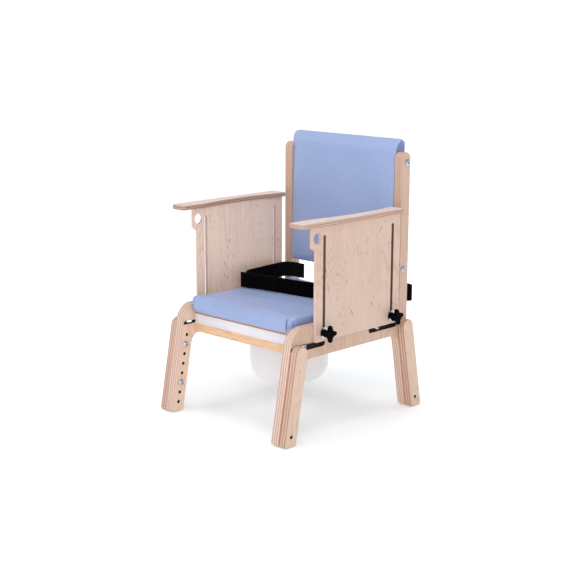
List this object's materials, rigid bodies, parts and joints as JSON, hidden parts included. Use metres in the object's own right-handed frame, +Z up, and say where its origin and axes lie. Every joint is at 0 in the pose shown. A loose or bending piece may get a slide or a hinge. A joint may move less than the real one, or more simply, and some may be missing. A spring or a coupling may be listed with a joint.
{
  "type": "potty training chair",
  "caption": "Wooden toddler toileting chair with splayed trestle sides, height-adjustable side panels, padded seat and back, lap belt and lift-out potty.",
  "frame": {"origin": "on the floor, on the centre plane, half way between the front and rear feet", "axes": "+Z up, the sitter faces -Y, +X is the sitter's left"},
  "size_m": [0.352, 0.3806, 0.519],
  "materials": {
    "birch_frame": "clear satin lacquer on birch plywood",
    "birch_leg": "clear satin lacquer on birch plywood",
    "birch_panel": "clear satin lacquer on thin birch plywood",
    "birch_armrest": "clear satin lacquer",
    "seat_timber": "oiled",
    "back_board": "raw plywood",
    "cushion_board": "raw plywood",
    "vinyl": "soft pale blue upholstery vinyl",
    "white_moulding": "satin white",
    "milky_plastic": "milky, slightly see-through",
    "zinc": "bright zinc plate",
    "brass_insert": "plain",
    "black_knob": "fine moulded texture",
    "black_webbing": "ribbed woven webbing"
  },
  "bodies": {
    "frame": {"side_frame_left": "birch_frame", "side_frame_right": "birch_frame", "leg_front_left": "birch_leg", "leg_front_right": "birch_leg", "leg_rear_left": "birch_leg", "leg_rear_right": "birch_leg", "leg_bolts": "zinc", "leg_inserts": "brass_insert", "backrest_board": "back_board", "backrest_pad": "vinyl", "backrest_bolts": "zinc", "backrest_inserts": "brass_insert", "knob_inserts": "brass_insert", "knob_washers": "zinc", "lap_belt_left": "black_webbing", "lap_belt_right": "black_webbing", "belt_screws": "zinc", "belt_washers": "zinc"},
    "seat": {"seat_front_rail": "seat_timber", "seat_rear_rail": "seat_timber", "seat_bearer_left": "seat_timber", "seat_bearer_right": "seat_timber", "seat_dowels": "seat_timber", "slot_bolts": "zinc", "potty_carrier": "white_moulding", "carrier_screws": "zinc"},
    "cushion": {"cushion_base": "cushion_board", "seat_cushion": "vinyl"},
    "potty": {"potty_bowl": "milky_plastic"},
    "side_left": {"side_panel_left": "birch_panel", "armrest_left": "birch_armrest"},
    "clamp_front_left": {"knob_front_left": "black_knob", "stud_front_left": "zinc"},
    "clamp_rear_left": {"knob_rear_left": "black_knob", "stud_rear_left": "zinc"},
    "side_right": {"side_panel_right": "birch_panel", "armrest_right": "birch_armrest"},
    "clamp_front_right": {"knob_front_right": "black_knob", "stud_front_right": "zinc"},
    "clamp_rear_right": {"knob_rear_right": "black_knob", "stud_rear_right": "zinc"}
  },
  "joints": [
    {"name": "seat_slide", "type": "slide", "parent": "frame", "child": "seat", "axis": [0, 1, 0], "range_m": [-0.022, 0.044], "deforming": ["lap_belt_left", "lap_belt_right"]},
    {"name": "cushion_lift", "type": "slide", "parent": "seat", "child": "cushion", "axis": [0, -0.866, 0.5], "range_m": [0, 0.3], "deforming": ["lap_belt_left", "lap_belt_right"]},
    {"name": "potty_lift", "type": "slide", "parent": "seat", "child": "potty", "axis": [0, 0, 1], "range_m": [0, 0.147]},
    {"name": "arm_height_left", "type": "slide", "parent": "frame", "child": "side_left", "axis": [0, 0, -1], "range_m": [0, 0.165]},
    {"name": "knob_turn_front_left", "type": "hinge", "parent": "frame", "child": "clamp_front_left", "pos_m": [0.1571, -0.0818, 0.19], "axis": [1, 0, 0], "continuous": true},
    {"name": "knob_turn_rear_left", "type": "hinge", "parent": "frame", "child": "clamp_rear_left", "pos_m": [0.1571, 0.1049, 0.19], "axis": [1, 0, 0], "continuous": true},
    {"name": "arm_height_right", "type": "slide", "parent": "frame", "child": "side_right", "axis": [0, 0, -1], "range_m": [0, 0.165]},
    {"name": "knob_turn_front_right", "type": "hinge", "parent": "frame", "child": "clamp_front_right", "pos_m": [-0.1571, -0.0818, 0.19], "axis": [-1, 0, 0], "continuous": true},
    {"name": "knob_turn_rear_right", "type": "hinge", "parent": "frame", "child": "clamp_rear_right", "pos_m": [-0.1571, 0.1049, 0.19], "axis": [-1, 0, 0], "continuous": true}
  ],
  "couplings": [
    {"joint": "potty_lift", "follows": "cushion_lift", "ratio": 0.49}
  ]
}
